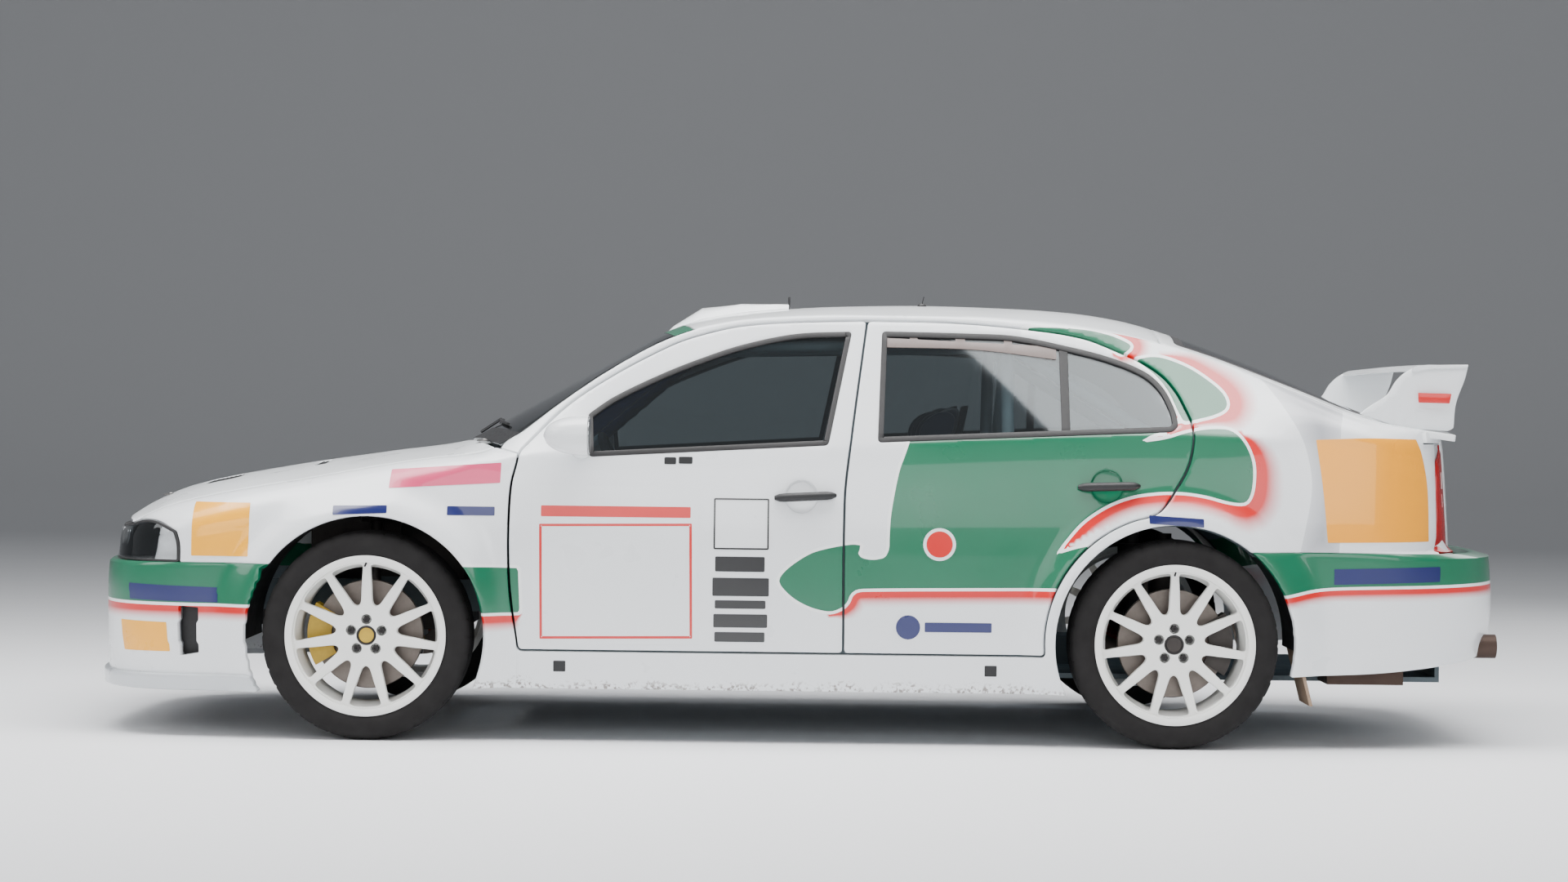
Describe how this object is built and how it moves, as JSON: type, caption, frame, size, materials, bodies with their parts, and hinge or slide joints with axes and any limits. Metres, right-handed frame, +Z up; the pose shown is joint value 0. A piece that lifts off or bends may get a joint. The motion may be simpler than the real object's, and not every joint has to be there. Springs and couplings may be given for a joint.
{
  "type": "rally car",
  "caption": "Liftback rally car with hollow caged cabin, opening doors, bonnet and tailgate, steered front wheels, spoked rims and a tailgate wing.",
  "frame": {"origin": "on the ground under the middle of the bounding box", "axes": "+X to the rear, -X to the front, +Y to the right-hand side of the car, -Y to its left-hand side, +Z up"},
  "size_m": [4.5114, 1.953, 1.395],
  "materials": {
    "white_paint": "glossy",
    "green_paint": "glossy",
    "clear_glass": "clear",
    "lamp_lens": "clear",
    "red_lens": "glossy",
    "black_plastic": "matte",
    "seat_fabric": "woven",
    "bare_iron": "rough",
    "exhaust_steel": "heat stained",
    "flap_rubber": "dusty",
    "rim_paint": "glossy",
    "tyre_rubber": "matte"
  },
  "bodies": {
    "chassis": {"floor_pan": "white_paint", "left_side_frame": "white_paint", "right_side_frame": "white_paint", "roof_panel": "white_paint", "roof_vent": "white_paint", "windscreen": "clear_glass", "front_wings": "white_paint", "front_bumper": "green_paint", "rear_bumper": "green_paint", "grille": "black_plastic", "headlights": "lamp_lens", "tail_lights": "red_lens", "dashboard": "black_plastic", "roll_cage": "white_paint", "seats": "seat_fabric", "engine_block": "bare_iron", "front_suspension": "bare_iron", "rear_suspension": "bare_iron", "arch_liners": "black_plastic", "exhaust": "exhaust_steel", "mudflaps": "flap_rubber"},
    "bonnet": {"bonnet": "white_paint"},
    "tailgate": {"tailgate": "white_paint", "rear_window": "clear_glass", "rear_wing": "white_paint"},
    "left_front_door": {"left_front_door": "white_paint", "left_front_glass": "clear_glass", "left_mirror": "white_paint"},
    "right_front_door": {"right_front_door": "white_paint", "right_front_glass": "clear_glass", "right_mirror": "white_paint"},
    "left_rear_door": {"left_rear_door": "green_paint", "left_rear_glass": "clear_glass"},
    "right_rear_door": {"right_rear_door": "green_paint", "right_rear_glass": "clear_glass"},
    "left_knuckle": {"left_knuckle": "bare_iron"},
    "right_knuckle": {"right_knuckle": "bare_iron"},
    "left_front_wheel": {"left_front_rim": "rim_paint", "left_front_tyre": "tyre_rubber"},
    "right_front_wheel": {"right_front_rim": "rim_paint", "right_front_tyre": "tyre_rubber"},
    "left_rear_wheel": {"left_rear_rim": "rim_paint", "left_rear_tyre": "tyre_rubber"},
    "right_rear_wheel": {"right_rear_rim": "rim_paint", "right_rear_tyre": "tyre_rubber"},
    "steering_wheel": {"steering_wheel": "black_plastic"}
  },
  "joints": [
    {"name": "bonnet_hinge", "type": "hinge", "parent": "chassis", "child": "bonnet", "pos_m": [-0.95, 0, 0.913], "axis": [0, 1, 0], "range_deg": [0, 55]},
    {"name": "tailgate_hinge", "type": "hinge", "parent": "chassis", "child": "tailgate", "pos_m": [1.155, 0, 1.325], "axis": [0, -1, 0], "range_deg": [0, 75]},
    {"name": "left_front_door_hinge", "type": "hinge", "parent": "chassis", "child": "left_front_door", "pos_m": [-0.907, -0.847, 0.6], "axis": [0, 0, -1], "range_deg": [0, 65]},
    {"name": "right_front_door_hinge", "type": "hinge", "parent": "chassis", "child": "right_front_door", "pos_m": [-0.907, 0.847, 0.6], "axis": [0, 0, 1], "range_deg": [0, 65]},
    {"name": "left_rear_door_hinge", "type": "hinge", "parent": "chassis", "child": "left_rear_door", "pos_m": [0.139, -0.851, 0.6], "axis": [0, 0, -1], "range_deg": [0, 65]},
    {"name": "right_rear_door_hinge", "type": "hinge", "parent": "chassis", "child": "right_rear_door", "pos_m": [0.139, 0.851, 0.6], "axis": [0, 0, 1], "range_deg": [0, 65]},
    {"name": "left_steer", "type": "hinge", "parent": "chassis", "child": "left_knuckle", "pos_m": [-1.3455, -0.685, 0.195], "axis": [0, 0.1898, 0.9818], "range_deg": [-28, 28]},
    {"name": "right_steer", "type": "hinge", "parent": "chassis", "child": "right_knuckle", "pos_m": [-1.3455, 0.685, 0.195], "axis": [0, -0.1898, 0.9818], "range_deg": [-28, 28]},
    {"name": "left_front_wheel_axle", "type": "hinge", "parent": "left_knuckle", "child": "left_front_wheel", "pos_m": [-1.3455, -0.761, 0.325], "axis": [0, 1, 0], "continuous": true},
    {"name": "right_front_wheel_axle", "type": "hinge", "parent": "right_knuckle", "child": "right_front_wheel", "pos_m": [-1.3455, 0.761, 0.325], "axis": [0, 1, 0], "continuous": true},
    {"name": "left_rear_wheel_axle", "type": "hinge", "parent": "chassis", "child": "left_rear_wheel", "pos_m": [1.1695, -0.761, 0.325], "axis": [0, 1, 0], "continuous": true},
    {"name": "right_rear_wheel_axle", "type": "hinge", "parent": "chassis", "child": "right_rear_wheel", "pos_m": [1.1695, 0.761, 0.325], "axis": [0, 1, 0], "continuous": true},
    {"name": "steering_column", "type": "hinge", "parent": "chassis", "child": "steering_wheel", "pos_m": [-0.738, -0.35, 0.74], "axis": [0.9272, 0, 0.3746], "range_deg": [-350, 350]}
  ],
  "couplings": [
    {"joint": "right_steer", "follows": "left_steer", "ratio": 1},
    {"joint": "steering_column", "follows": "left_steer", "ratio": 12}
  ]
}
